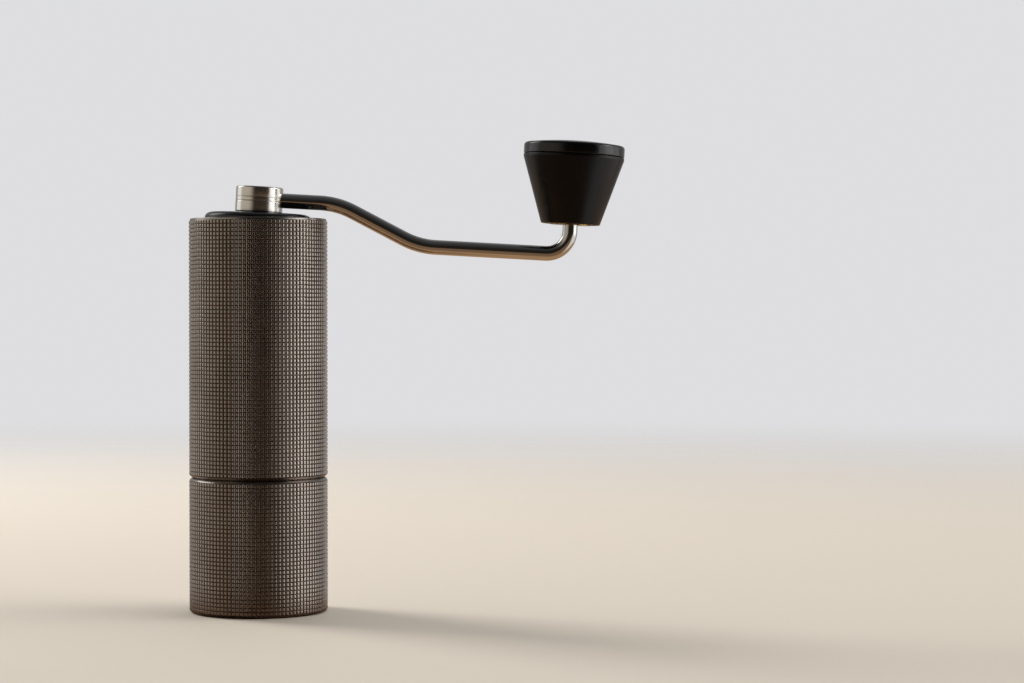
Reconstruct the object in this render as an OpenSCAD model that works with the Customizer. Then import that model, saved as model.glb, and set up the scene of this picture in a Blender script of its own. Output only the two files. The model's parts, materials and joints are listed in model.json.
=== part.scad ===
// Hand crank coffee grinder: a knurled body that screws onto a knurled cup, a lid, a bent crank
// with a turning knob, and the drive, bearings, conical burrs and grind setting inside.
// Millimetres, +Z up. The origin is the centre of the foot, on the table. The arm points to +X.

/* [Body] */
// Outside diameter of the body and the cup
body_d = 52; // [44:0.5:64]
// Height from the table to the body's rim
total_h = 148; // [122:0.5:178]
// Height of the cup, up to the seam
cup_h = 50.5; // [42:0.5:61]
// Wall of the body tube
body_wall = 3; // [2.4:0.1:4]
// How far the rim's lip reaches inwards
lip_w = 2.2; // [1.6:0.1:3]
// Height of the rim's lip
lip_h = 3; // [3:0.1:5]
// Rounding of the rim's outer edge
rim_round = 0.8; // [0.5:0.1:2]
// Chamfer at the body's lower edge, on the seam
body_chamfer = 1.3; // [0.4:0.1:1.5]
// Chamfer at the cup's upper edge, on the seam
cup_chamfer = 0.8; // [0.4:0.1:1.4]
// Chamfer at the foot of the cup
foot_chamfer = 1; // [0.4:0.1:2]

/* [Cup] */
// Wall of the cup
cup_wall = 2.7; // [2:0.1:2.8]
// Floor of the cup above its foot pad
cup_floor = 2; // [1.2:0.1:4]
// Rounding between the cup's floor and wall
cup_fillet = 3; // [1:0.5:6]
// Thickness of the foot pad
pad_t = 1.6; // [1:0.1:2.5]
// How far the foot pad stands out below the cup
pad_proud = 0.4; // [0.2:0.1:0.8]
// Width of the cup's metal edge around the foot pad
pad_edge = 1.8; // [1.4:0.1:3]
// Length of the screw thread between cup and burr holder
thread_l = 8; // [5:0.5:10]
// Pitch of that thread
thread_pitch = 2; // [1.5:0.1:3]
// Height of each thread ridge
thread_ridge = 0.6; // [0.3:0.05:0.65]

/* [Hopper] */
// Height of the liner above the upper bracket
upper_liner_h = 11; // [9:0.5:16]
// How far that liner steps inwards, as a ledge under the lid
ledge_w = 1.2; // [0.6:0.1:2]
// Height of each bearing bracket
bracket_h = 8; // [8:0.1:10]
// Number of arms on each bracket
bracket_arms = 3; // [3:1:4]
// Width of each bracket arm
bracket_arm_w = 5; // [3:0.5:7]
// Wall around each bearing
boss_wall = 2.2; // [1.5:0.1:3]
// Lip that stops each bearing
seat_lip = 0.8; // [0.5:0.1:1]

/* [Bearings] */
// Bore of the ball bearings
bearing_id = 8; // [6.6:0.1:9.6]
// Outside diameter of the ball bearings
bearing_od = 22; // [21:0.5:24]
// Width of the ball bearings
bearing_w = 7; // [6:0.5:7]
// Wall of each bearing race
race_t = 1.5; // [1:0.1:1.8]

/* [Shaft] */
// Width across the flats of the hexagon that takes the handle
hex_af = 6.8; // [5.5:0.1:7]
// Height of the hexagon's top above the rim
hex_above_rim = 7.2; // [5:0.1:7.5]
// Step between the bearing journals and the thick middle
shaft_step = 1; // [0.5:0.1:2]
// Width across the two flats that drive the burr
drive_af = 6.2; // [5:0.1:6.5]
// Diameter of the threaded end
stud_d = 6; // [4.5:0.5:6]
// Length of the threaded end below the dial
stud_below_dial = 4; // [3.4:0.1:8]

/* [Burrs] */
// Height of the fixed ring burr
ring_burr_h = 18; // [14:0.5:19]
// Ring burr's wall at its lower edge
ring_wall_low = 2.6; // [2:0.1:3.5]
// Ring burr's wall at its upper teeth
ring_wall_high = 5.6; // [4:0.1:6]
// Wall of the holder around the ring burr
holder_wall = 1.95; // [1.5:0.05:2.5]
// Height of the turning burr
burr_h = 17; // [14:0.5:18]
// Diameter of the turning burr's top
burr_top_d = 14; // [12:0.5:16]
// Gap left at the finest setting
burr_gap = 0.3; // [0.2:0.05:0.6]
// Travel of the turning burr to each side of the setting shown
burr_travel = 1.5; // [0.5:0.1:1.5]
// Number of teeth on the ring burr
ring_teeth = 18; // [12:1:30]
// Number of flutes on the turning burr
burr_flutes = 12; // [6:1:16]

/* [Dial] */
// Height of the grind dial
dial_h = 7; // [6.5:0.1:9]
// How far the dial is smaller than the turning burr, on the radius
dial_inset = 5; // [3:0.5:5.5]
// Number of finger scallops on the dial
dial_scallops = 20; // [8:1:24]
// Thickness of the click plate
plate_t = 0.6; // [0.4:0.1:1]
// Number of clicks in a turn
clicks = 12; // [6:1:18]
// Radius of the circle that the clicks lie on
click_circle_r = 6.6; // [6.4:0.1:7.2]

/* [Crank] */
// Lean of the handle on its loose hexagon
handle_lean = 3.1; // [0:0.1:3.5]
// Lean of the lid under it
lid_lean = 2; // [0:0.1:2.5]
// Diameter of the arm's rod
rod_d = 5.6; // [4.6:0.1:6.8]
// Height of the arm's upper run above the rim
upper_run = 7.25; // [6.5:0.05:8]
// Height of the arm's lower run, below the rim
lower_run = -7.13; // [-12:0.01:-4]
// Slope of the arm between its two runs
arm_slope = 24.65; // [15:0.05:45]
// Radius of the arm's two gentle bends
bend_r = 30; // [15:1:32]
// Distance from the axis to the first bend
first_bend_x = 23; // [15:0.5:30]
// Distance from the grinder's axis to the knob's pin
arm_reach = 117.5; // [98:0.5:141]
// Radius of the bend up into the pin
pin_bend_r = 8.7; // [6:0.1:9]
// Diameter of the hub
hub_d = 17.7; // [16.8:0.1:22]
// Top of the hub above the rim
hub_top = 12.05; // [11.5:0.05:15]
// Underside of the hub above the rim
hub_bottom = 2.5; // [2.5:0.1:3]
// Width and height of the ring groove around the hub's middle
hub_groove = [0.4, 1.55];
// Height of the seam between hub and hub cap
hub_seam = 8; // [7.8:0.1:9]
// Diameter of the hub's neck through the lid
neck_d = 12.8; // [12:0.1:14]
// Length of the neck below the rim
neck_l = 6; // [5:0.5:8]

/* [Lid] */
// Height of the lid above the rim
lid_above = 2.2; // [1:0.1:2.2]
// Depth of the lid below the rim
lid_below = 2; // [1:0.1:2.1]
// Gap around the lid
lid_gap = 0.8; // [0.6:0.1:1.5]

/* [Knob] */
// Diameter of the knob's lower end
knob_low_d = 22.1; // [18:0.1:30]
// Diameter of the knob's upper end
knob_high_d = 37.9; // [31:0.1:46]
// Underside of the knob, in the handle's own height
knob_bottom = 4.3; // [3:0.1:8]
// Height of the cone from there
knob_cone_h = 24.8; // [22:0.1:30]
// Height of the straight band above the cone
knob_band_h = 1.1; // [0.6:0.1:3]
// Height of the cap's side
knob_cap_h = 4.1; // [2.5:0.1:6]
// Rise of the cap's dome
knob_dome = 1.4; // [0.5:0.1:2.5]
// Rounding of the cap's edge
knob_edge = 1.4; // [0.5:0.1:2]
// Wall of the knob's brass bush
bush_wall = 1.8; // [1:0.1:2.5]
// Diameter of the bush's flange
bush_flange_d = 15; // [11:0.5:17]
// Diameter of the screw that holds the knob
knob_screw_d = 4; // [3:0.5:4]

/* [Clearances] */
// Between a turning or sliding shaft and its hole, on the radius
running = 0.05; // [0.02:0.01:0.1]
// Between fixed pieces that fit into each other, on the radius
fitted = 0.03; // [0.01:0.01:0.05]
// Between the stacked inner rings and the body tube, on the radius
stack_gap = 0.1; // [0.05:0.05:0.2]
// Between faces that move past each other
face_gap = 0.3; // [0.2:0.05:0.4]
// Play of the handle's socket on the hexagon, across the flats
socket_play = 1.5; // [1.2:0.1:1.6]

/* [Hidden] */
$fn = 96;
cut = 1; // how far a cutting solid runs past the face that it opens
sliver = 0.05; // the gap between flat faces that nearly touch

// radii of the body and of what fits inside it
body_r = body_d / 2;
bore_r = body_r - body_wall;
stack_r = bore_r - stack_gap;
mouth_r = bore_r - lip_w;
snap_groove = 0.8;
cup_in_r = body_r - cup_wall;
thread_core_r = cup_in_r - 2 * thread_ridge - face_gap - sliver;
thread_root = 0.2; // how far a thread ridge is sunk in its wall
pad_r = body_r - pad_edge;

// heights of the body, from the seam up and from the rim down
tube_z = cup_h + 2 * sliver;
lip_z = total_h - lip_h;
upper_bracket_z = lip_z - upper_liner_h - bracket_h;
snap_z = tube_z + 0.8;
snap_t = 1;
holder_shelf_z = snap_z + snap_t;
ring_burr_z = holder_shelf_z;
holder_top_z = ring_burr_z + ring_burr_h + 3;
lower_bracket_z = holder_top_z;
lower_liner_z = lower_bracket_z + bracket_h;
upper_bearing_z = upper_bracket_z + seat_lip;
lower_bearing_z = lower_liner_z - seat_lip - bearing_w;

// bearings
journal_r = bearing_id / 2 - 0.01;
boss_r = bearing_od / 2 + boss_wall;
ball_r = (bearing_od - bearing_id) / 4 - race_t - 0.02;
ball_circle_r = (bearing_od + bearing_id) / 4;
ball_count = 7;
ball_pocket_gap = 0.05;
cage_half_w = 0.6;
cage_half_h = 2.6;

// burrs, from the body's bore inwards
seat_r = stack_r - holder_wall;
ring_burr_r = seat_r - fitted;
holder_bore_r = seat_r - 1.95;
ring_low_r = ring_burr_r - ring_wall_low;
ring_high_r = ring_burr_r - ring_wall_high;
ring_mouth_h = 4;
ring_cone_h = ring_burr_h - ring_mouth_h;
burr_skirt_r = ring_low_r - burr_gap;
burr_z = ring_burr_z - 2 * burr_travel - 0.2;
skirt_h = burr_travel;
grind_h = 5.5;
grind_drop = 1.6;
tooth_w = 1.2;
tooth_depth = 0.7;
tooth_lean = 20;
flute_w = 1.6;
flute_depth = 1.5;
grub_r = 1.5;
grub_l = 3.2;
grub_z = ring_burr_z + 0.45 * ring_burr_h;

// grind dial, below the turning burr
plate_z = burr_z - plate_t;
dial_top_z = plate_z - sliver;
dial_z = dial_top_z - dial_h;
dial_r = burr_skirt_r - dial_inset;
dial_recess_r = bearing_id / 2 + 0.3;
dial_recess_h = 2 * burr_travel + 0.3;
drive_end_z = dial_top_z - dial_recess_h + burr_travel + 2 * sliver;
stud_end_z = dial_z - stud_below_dial;
end_clip_t = 0.8;
end_clip_z = stud_end_z + 0.8;
detent_r = 1;
scallop_r = 1.7;

// shaft and clips
clip_t = 0.8;
clip_groove_depth = 0.6;
hex_start_z = upper_bearing_z + bearing_w + clip_t + 1.4;
hex_top_z = total_h + hex_above_rim;
socket_af = hex_af + socket_play;
middle_r = bearing_id / 2 + shaft_step;

// burr spring
spring_wire_r = 0.6;
spring_r = bearing_id / 2 + spring_wire_r + 0.5;
spring_low_z = burr_z + burr_h + sliver;
spring_high_z = lower_bearing_z - sliver;
spring_turns = 4;

// handle, in its own frame: u along the arm, v up, both from the middle of the rim
rod_r = rod_d / 2;
rod_join = 0.2; // how far a straight of the rod reaches into a bend
rod_step = 0.005; // how much thinner it is there, so that the two surfaces don't coincide
hub_r = hub_d / 2;
neck_r = neck_d / 2;
arm_start_u = socket_af / 2 + 1;
bend_drop = bend_r * (1 - cos(arm_slope));
bend_run = bend_r * sin(arm_slope);
slope_l = (upper_run - lower_run - 2 * bend_drop) / sin(arm_slope);
slope_u = first_bend_x + bend_run;
second_bend_u = slope_u + slope_l * cos(arm_slope) + bend_run;
pin_bend_u = arm_reach - pin_bend_r;
lid_r = mouth_r - lid_gap;
lid_hole_r = neck_r + 0.25;
lid_clip_v = -lid_below - face_gap - clip_t;

// knob, in the same frame
knob_low_r = knob_low_d / 2;
knob_high_r = knob_high_d / 2;
knob_cone_v = knob_bottom + knob_cone_h;
knob_seam_v = knob_cone_v + knob_band_h;
knob_side_v = knob_seam_v + knob_cap_h;
knob_chamfer = 0.35;
dome_r = (knob_high_r * knob_high_r + knob_dome * knob_dome) / (2 * knob_dome);
bush_r = rod_r + running + bush_wall;
bush_flange_t = 1.1;
bush_proud = 0.3;
knob_cavity_r = 7.5;
knob_cavity_h = 4.7;
bush_top_v = knob_seam_v - knob_cavity_h;
pin_top_v = bush_top_v + face_gap;
pin_l = pin_top_v - rod_join - lower_run - pin_bend_r;
washer_t = 1;
washer_r = 6;
screw_head_r = 4.2;
screw_head_h = 2.2;
screw_l = 10;
spigot_wall = 1.6;
spigot_h = 1.5;

// a ring with a square section
module ring(r_out, r_in, h, z = 0)
    rotate_extrude()
        translate([r_in, z]) square([r_out - r_in, h]);

// a spring clip: a ring with a gap in it
module clip(r_out, r_in, h, z, gap = 60)
    rotate([0, 0, gap / 2])
        rotate_extrude(angle = 360 - gap)
            translate([r_in, z]) square([r_out - r_in, h]);

// what is cut off a profile's corner to round it; the corner points to +x +y
module corner_cut(r)
    translate([-r, -r])
        difference() {
            square(r + cut);
            circle(r = r);
        }

// copies on a circle
module around(count, start = 0)
    for (i = [0:count - 1])
        rotate([0, 0, start + i * 360 / count]) children();

// the shaft's section with two flats, and the hole for it
module flats(h, play = 0)
    intersection() {
        cylinder(r = journal_r + play, h = h);
        translate([-drive_af / 2 - play, -bearing_id, 0])
            cube([drive_af + 2 * play, 2 * bearing_id, h]);
    }

// a hexagon with a flat towards the arm
module hexagon(af, h)
    rotate([0, 0, 30]) cylinder(r = af / 2 / cos(30), h = h, $fn = 6);

// a coil spring of round wire
module coil(r, wire_r, turns, low_z, high_z, sides = 8, per_turn = 20) {
    steps = turns * per_turn;
    rise = high_z - low_z - 2 * wire_r;
    points = [
        for (i = [0:steps])
            for (k = [0:sides - 1])
                let (a = 360 * i / per_turn, b = 360 * k / sides, d = r + wire_r * cos(b))
                    [d * cos(a), d * sin(a), low_z + wire_r + rise * i / steps + wire_r * sin(b)]
    ];
    faces = [
        [for (k = [0:sides - 1]) k],
        [for (k = [sides - 1:-1:0]) steps * sides + k],
        for (i = [0:steps - 1])
            for (k = [0:sides - 1])
                let (a = i * sides, n = (k + 1) % sides)
                    each [[a + k, a + sides + k, a + sides + n], [a + k, a + sides + n, a + n]]
    ];
    polyhedron(points, faces);
}

// the handle's frame: its own height is counted from the rim
module in_handle()
    translate([0, 0, total_h]) rotate([0, handle_lean, 0]) children();

module in_lid()
    translate([0, 0, total_h]) rotate([0, lid_lean, 0]) children();

// body

module outer_tube()
    color("#6f655c")
    rotate_extrude()
    difference() {
        polygon([
            [bore_r, tube_z],
            [body_r - body_chamfer, tube_z],
            [body_r, tube_z + body_chamfer],
            [body_r, total_h],
            [mouth_r, total_h],
            [mouth_r, lip_z],
            [bore_r, lip_z]
        ]);
        translate([body_r, total_h]) corner_cut(rim_round);
        translate([bore_r - cut, snap_z - sliver])
            square([snap_groove + cut, snap_t + 2 * sliver]);
    }

module liner(z, h, in_r)
    ring(stack_r, in_r, h, z);

module upper_liner()
    color("#b9b6b0") liner(lip_z - upper_liner_h, upper_liner_h, mouth_r - ledge_w);

module lower_liner()
    color("#b9b6b0") liner(lower_liner_z, upper_bracket_z - lower_liner_z, mouth_r);

// a ring, a boss on arms and a bearing seat that opens upwards
module bracket()
    difference() {
        union() {
            ring(stack_r, mouth_r, bracket_h);
            cylinder(r = boss_r, h = bracket_h);
            around(bracket_arms, 60)
                translate([boss_r / 2, -bracket_arm_w / 2, 0])
                    cube([(mouth_r + stack_r) / 2 - boss_r / 2, bracket_arm_w, bracket_h]);
        }
        translate([0, 0, seat_lip]) cylinder(r = bearing_od / 2, h = bracket_h);
        translate([0, 0, -cut]) cylinder(r = bearing_od / 2 - race_t + 0.2, h = bracket_h);
    }

module upper_bracket()
    color("#9a9790") translate([0, 0, upper_bracket_z]) bracket();

module lower_bracket()
    color("#9a9790") translate([0, 0, lower_liner_z]) mirror([0, 0, 1]) bracket();

// ridges of a screw thread, as rings, from inside the wall to their crests at crest_r
module thread_ridges(root_r, crest_r, low_z, high_z)
    for (z = [low_z + thread_pitch / 2:thread_pitch:high_z - thread_pitch / 2])
        let (way = crest_r > root_r ? thread_pitch : -thread_pitch)
            polygon([
                [root_r, z - 0.35 * way],
                [crest_r, z - 0.1 * way],
                [crest_r, z + 0.1 * way],
                [root_r, z + 0.35 * way]
            ]);

module burr_holder()
    color("#8f8b85")
    difference() {
        rotate_extrude() {
            polygon([
                [holder_bore_r, cup_h - thread_l],
                [thread_core_r, cup_h - thread_l],
                [thread_core_r, holder_shelf_z + sliver],
                [stack_r, holder_shelf_z + sliver],
                [stack_r, holder_top_z],
                [seat_r, holder_top_z],
                [seat_r, ring_burr_z],
                [holder_bore_r, ring_burr_z]
            ]);
            thread_ridges(thread_core_r - thread_root, thread_core_r + thread_ridge,
                cup_h - thread_l, cup_h);
        }
        around(3)
            translate([seat_r - cut, 0, grub_z]) rotate([0, 90, 0])
                cylinder(r = grub_r + fitted, h = holder_wall + 2 * cut);
    }

module snap_ring()
    color("#3c3c3e")
    clip(bore_r + snap_groove - sliver, thread_core_r + 2 * sliver, snap_t, snap_z, 20);

module ring_burr()
    color("#c9c6c0")
    difference() {
        rotate_extrude()
            polygon([
                [ring_low_r, ring_burr_z],
                [ring_burr_r, ring_burr_z],
                [ring_burr_r, ring_burr_z + ring_burr_h],
                [ring_high_r + ring_mouth_h, ring_burr_z + ring_burr_h],
                [ring_high_r, ring_burr_z + ring_cone_h]
            ]);
        around(ring_teeth, 7)
            translate([(ring_low_r + ring_high_r) / 2, 0, ring_burr_z + ring_cone_h / 2])
                rotate([tooth_lean, -atan((ring_low_r - ring_high_r) / ring_cone_h), 0])
                    translate([-2 * cut, -tooth_w / 2, -ring_burr_h])
                        cube([2 * cut + tooth_depth, tooth_w, 2 * ring_burr_h]);
        around(3)
            translate([stack_r - grub_l - sliver, 0, grub_z]) rotate([0, 90, 0])
                cylinder(r = grub_r + fitted, h = grub_l);
    }

module grub_screw(i)
    color("#3a3a3c")
    rotate([0, 0, (i - 1) * 120])
        translate([stack_r - grub_l, 0, grub_z]) rotate([0, 90, 0])
            difference() {
                cylinder(r = grub_r, h = grub_l - sliver);
                translate([0, 0, grub_l / 2]) cylinder(r = grub_r / 2, h = grub_l, $fn = 6);
            }

// bearings

module outer_race(z)
    color("#c4c6c8") ring(bearing_od / 2 - fitted, bearing_od / 2 - race_t, bearing_w, z);

module inner_race(z)
    color("#c4c6c8") ring(bearing_id / 2 + race_t, bearing_id / 2, bearing_w, z);

module cage(z)
    color("#b08d57")
    translate([0, 0, z + bearing_w / 2])
        difference() {
            ring(ball_circle_r + cage_half_w, ball_circle_r - cage_half_w,
                2 * cage_half_h, -cage_half_h);
            around(ball_count)
                rotate([0, 90, 0]) cylinder(r = ball_r + ball_pocket_gap, h = bearing_od / 2);
        }

module ball(i, z)
    color("#d6d8da")
    rotate([0, 0, (i - 1) * 360 / ball_count])
        translate([ball_circle_r, 0, z + bearing_w / 2]) sphere(r = ball_r);

// drive

module shaft()
    color("#a9abad")
    difference() {
        union() {
            translate([0, 0, stud_end_z]) cylinder(d = stud_d, h = drive_end_z - stud_end_z);
            translate([0, 0, drive_end_z]) flats(lower_bearing_z - drive_end_z);
            translate([0, 0, lower_bearing_z]) cylinder(r = journal_r, h = bearing_w);
            translate([0, 0, lower_bearing_z + bearing_w])
                cylinder(r = middle_r, h = upper_bearing_z - lower_bearing_z - bearing_w);
            translate([0, 0, upper_bearing_z])
                cylinder(r = journal_r, h = hex_start_z - upper_bearing_z);
            translate([0, 0, hex_start_z]) hexagon(hex_af, hex_top_z - hex_start_z);
        }
        ring(bearing_id, journal_r - clip_groove_depth, clip_t + 2 * sliver,
            upper_bearing_z + bearing_w);
        ring(stud_d, stud_d / 2 - clip_groove_depth, end_clip_t + 2 * sliver,
            end_clip_z - sliver);
    }

module shaft_clip()
    color("#2f2f31")
    clip(journal_r + 2, journal_r - clip_groove_depth + sliver, clip_t,
        upper_bearing_z + bearing_w + sliver);

module end_clip()
    color("#2f2f31")
    clip(stud_d / 2 + 2.4, stud_d / 2 - clip_groove_depth + sliver, end_clip_t, end_clip_z);

module burr_spring()
    color("#8c8e92")
    coil(spring_r, spring_wire_r, spring_turns, spring_low_z, spring_high_z);

// burr and grind setting

module inner_burr()
    color("#bdbab4")
    difference() {
        translate([0, 0, burr_z])
            rotate_extrude()
                polygon([
                    [0, 0],
                    [burr_skirt_r, 0],
                    [burr_skirt_r, skirt_h],
                    [burr_skirt_r - grind_drop, skirt_h + grind_h],
                    [burr_top_d / 2, burr_h],
                    [0, burr_h]
                ]);
        translate([0, 0, burr_z - cut]) flats(burr_h + 2 * cut, running);
        around(burr_flutes, 5)
            translate([burr_skirt_r - grind_drop, 0, burr_z + skirt_h + grind_h])
                rotate([-tooth_lean, -atan((burr_skirt_r - grind_drop - burr_top_d / 2)
                    / (burr_h - skirt_h - grind_h)), 0])
                    translate([-flute_depth, -flute_w / 2, -burr_h / 3])
                        cube([2 * flute_depth, flute_w, 2 * burr_h]);
    }

module click_plate()
    color("#d8d4cc")
    difference() {
        translate([0, 0, plate_z]) cylinder(r = dial_r - 0.6, h = plate_t);
        translate([0, 0, plate_z - cut]) flats(plate_t + 2 * cut, running);
        around(clicks)
            translate([click_circle_r, 0, plate_z - cut])
                cylinder(r = detent_r - 0.2, h = plate_t + 2 * cut);
    }

module dial()
    color("#b7b9bb")
    difference() {
        translate([0, 0, dial_z]) cylinder(r = dial_r, h = dial_h);
        translate([0, 0, dial_z - cut]) cylinder(r = stud_d / 2 + running, h = dial_h + 2 * cut);
        translate([0, 0, dial_top_z - dial_recess_h])
            cylinder(r = dial_recess_r, h = dial_recess_h + cut);
        around(dial_scallops)
            translate([dial_r + scallop_r - 0.7, 0, dial_z - cut])
                cylinder(r = scallop_r, h = dial_h + 2 * cut);
        around(2)
            translate([click_circle_r, 0, dial_z + 1])
                cylinder(r = detent_r + running, h = dial_h);
    }

module detent_ball(i)
    color("#d6d8da")
    rotate([0, 0, (i - 1) * 180])
        translate([click_circle_r, 0, plate_z - detent_r - sliver]) sphere(r = detent_r);

module detent_spring(i)
    color("#8c8e92")
    rotate([0, 0, (i - 1) * 180])
        translate([click_circle_r, 0, 0])
            coil(detent_r - 0.3, 0.25, 4, dial_z + 1 + sliver,
                plate_z - 2 * detent_r - 2 * sliver, 6, 10);

// handle

module arm_hole(play)
    translate([arm_start_u - 0.1, 0, upper_run]) rotate([0, 90, 0])
        cylinder(r = rod_r + play, h = hub_d);

module crank_hub()
    color("#b4b2ae")
    in_handle()
    difference() {
        rotate_extrude()
            polygon([
                [0, -neck_l],
                [neck_r, -neck_l],
                [neck_r, lid_clip_v - sliver],
                [neck_r - clip_groove_depth, lid_clip_v - sliver],
                [neck_r - clip_groove_depth, lid_clip_v + clip_t + sliver],
                [neck_r, lid_clip_v + clip_t + sliver],
                [neck_r, hub_bottom],
                [hub_r, hub_bottom],
                [hub_r, hub_seam - hub_groove[1]],
                [hub_r - hub_groove[0], hub_seam - hub_groove[1]],
                [hub_r - hub_groove[0], hub_seam],
                [0, hub_seam]
            ]);
        translate([0, 0, -neck_l - cut]) hexagon(socket_af, neck_l + hub_seam + 2 * cut);
        arm_hole(fitted);
    }

module hub_cap()
    color("#c2bfba")
    in_handle()
    difference() {
        rotate_extrude()
            difference() {
                translate([0, hub_seam]) square([hub_r, hub_top - hub_seam]);
                translate([hub_r, hub_top]) corner_cut(0.8);
            }
        arm_hole(fitted);
    }

// a bend of the rod, from one direction to another, about its centre
module rod_bend(centre_u, centre_v, r, from, sweep)
    translate([centre_u, 0, centre_v])
        rotate([90, 0, 0])
            rotate([0, 0, from])
                rotate_extrude(angle = sweep)
                    translate([r, 0]) circle(r = rod_r);

// a straight of the rod, down the given slope, which reaches a little into the bends at its ends
module rod_run(u, v, l, slope = 0)
    translate([u, 0, v])
        rotate([0, 90 + slope, 0])
            translate([0, 0, -rod_join]) cylinder(r = rod_r - rod_step, h = l + 2 * rod_join);

module crank_arm()
    color("#7f7f80")
    in_handle()
    difference() {
        union() {
            rod_run(arm_start_u + rod_join, upper_run, first_bend_x - arm_start_u - rod_join);
            rod_bend(first_bend_x, upper_run - bend_r, bend_r, 90 - arm_slope, arm_slope);
            rod_run(slope_u, upper_run - bend_drop, slope_l, arm_slope);
            rod_bend(second_bend_u, lower_run + bend_r, bend_r, 270 - arm_slope, arm_slope);
            rod_run(second_bend_u, lower_run, pin_bend_u - second_bend_u);
            rod_bend(pin_bend_u, lower_run + pin_bend_r, pin_bend_r, 270, 90);
            rod_run(arm_reach, lower_run + pin_bend_r, pin_l, -90);
        }
        translate([arm_reach, 0, pin_top_v - screw_l])
            cylinder(r = knob_screw_d / 2 + fitted, h = screw_l + cut);
    }

module on_pin()
    in_handle() translate([arm_reach, 0, 0]) children();

module knob_washer()
    color("#c9c9c9")
    on_pin() ring(washer_r, knob_screw_d / 2 + fitted, washer_t, pin_top_v);

module knob_screw()
    color("#4a4a4c")
    on_pin()
    difference() {
        union() {
            translate([0, 0, pin_top_v + washer_t - screw_l + 1.5])
                cylinder(d = knob_screw_d, h = screw_l - 1.5);
            translate([0, 0, pin_top_v + washer_t]) cylinder(r = screw_head_r, h = screw_head_h);
        }
        translate([0, 0, pin_top_v + washer_t + 0.8]) hexagon(3, screw_head_h);
    }

// lid

module lid()
    color("#1b1b1c")
    in_lid()
    rotate_extrude()
    difference() {
        translate([lid_hole_r, -lid_below]) square([lid_r - lid_hole_r, lid_below + lid_above]);
        translate([lid_r, lid_above]) corner_cut(lid_above);
    }

module lid_clip()
    color("#2f2f31")
    in_handle()
    clip(neck_r + 2, neck_r - clip_groove_depth + sliver, clip_t, lid_clip_v);

// knob

module knob_body()
    color("#1f1f20")
    on_pin()
    rotate_extrude()
    polygon([
        [bush_flange_d / 2 + fitted, knob_bottom],
        [knob_low_r - knob_chamfer, knob_bottom],
        [knob_low_r, knob_bottom + knob_chamfer],
        [knob_high_r, knob_cone_v],
        [knob_high_r, knob_seam_v - knob_chamfer],
        [knob_high_r - knob_chamfer, knob_seam_v],
        [knob_cavity_r, knob_seam_v],
        [knob_cavity_r, bush_top_v],
        [bush_r + fitted, bush_top_v],
        [bush_r + fitted, knob_bottom + bush_flange_t - bush_proud],
        [bush_flange_d / 2 + fitted, knob_bottom + bush_flange_t - bush_proud]
    ]);

module knob_cap()
    color("#232324")
    on_pin()
    rotate_extrude() {
        intersection() {
            difference() {
                polygon([
                    [0, knob_seam_v],
                    [knob_high_r - knob_chamfer, knob_seam_v],
                    [knob_high_r, knob_seam_v + knob_chamfer],
                    [knob_high_r, knob_side_v],
                    [0, knob_side_v + knob_dome + cut]
                ]);
                translate([knob_high_r, knob_side_v]) corner_cut(knob_edge);
            }
            translate([0, knob_side_v + knob_dome - dome_r]) circle(r = dome_r, $fn = 720);
        }
        translate([knob_cavity_r - fitted - spigot_wall, knob_seam_v - spigot_h])
            square([spigot_wall, spigot_h]);
    }

module knob_bush()
    color("#b5905a")
    on_pin() {
        ring(bush_r, rod_r + running, bush_top_v - knob_bottom + bush_proud,
            knob_bottom - bush_proud);
        ring(bush_flange_d / 2, rod_r + running, bush_flange_t, knob_bottom - bush_proud);
    }

// cup

module cup_shell()
    color("#6f655c")
    rotate_extrude()
    difference() {
        union() {
            polygon([
                [0, pad_proud],
                [body_r - foot_chamfer, pad_proud],
                [body_r, pad_proud + foot_chamfer],
                [body_r, cup_h - cup_chamfer],
                [body_r - cup_chamfer, cup_h],
                [cup_in_r, cup_h],
                [cup_in_r, pad_t + cup_floor],
                [0, pad_t + cup_floor]
            ]);
            translate([cup_in_r - cup_fillet, pad_t + cup_floor])
                difference() {
                    square(cup_fillet);
                    translate([0, cup_fillet]) circle(r = cup_fillet);
                }
            thread_ridges(cup_in_r + thread_root, cup_in_r - thread_ridge,
                cup_h - thread_l, cup_h);
        }
        translate([-cut, pad_proud - cut])
            square([pad_r + fitted + cut, pad_t - pad_proud + cut]);
    }

module base_pad()
    color("#141414") cylinder(r = pad_r, h = pad_t - sliver);

outer_tube();
upper_liner();
lower_liner();
upper_bracket();
lower_bracket();
burr_holder();
snap_ring();
ring_burr();
for (i = [1:3])
    grub_screw(i);
outer_race(upper_bearing_z);  // upper_outer_race
outer_race(lower_bearing_z);  // lower_outer_race
inner_race(upper_bearing_z);  // upper_inner_race
inner_race(lower_bearing_z);  // lower_inner_race
cage(upper_bearing_z);  // upper_cage
cage(lower_bearing_z);  // lower_cage
for (i = [1:ball_count])
    ball(i, upper_bearing_z);
for (i = [1:ball_count])
    ball(i, lower_bearing_z);
shaft();
shaft_clip();
burr_spring();
end_clip();
inner_burr();
click_plate();
dial();
for (i = [1:2])
    detent_ball(i);
for (i = [1:2])
    detent_spring(i);
crank_hub();
hub_cap();
crank_arm();
knob_washer();
knob_screw();
lid();
lid_clip();
knob_body();
knob_cap();
knob_bush();
cup_shell();
base_pad();
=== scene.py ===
# Hand crank coffee grinder: the knurled, turned, bent and moulded pieces that show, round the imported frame
import json
import math
import bmesh
import bpy
from mathutils import Matrix, Vector


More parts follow.
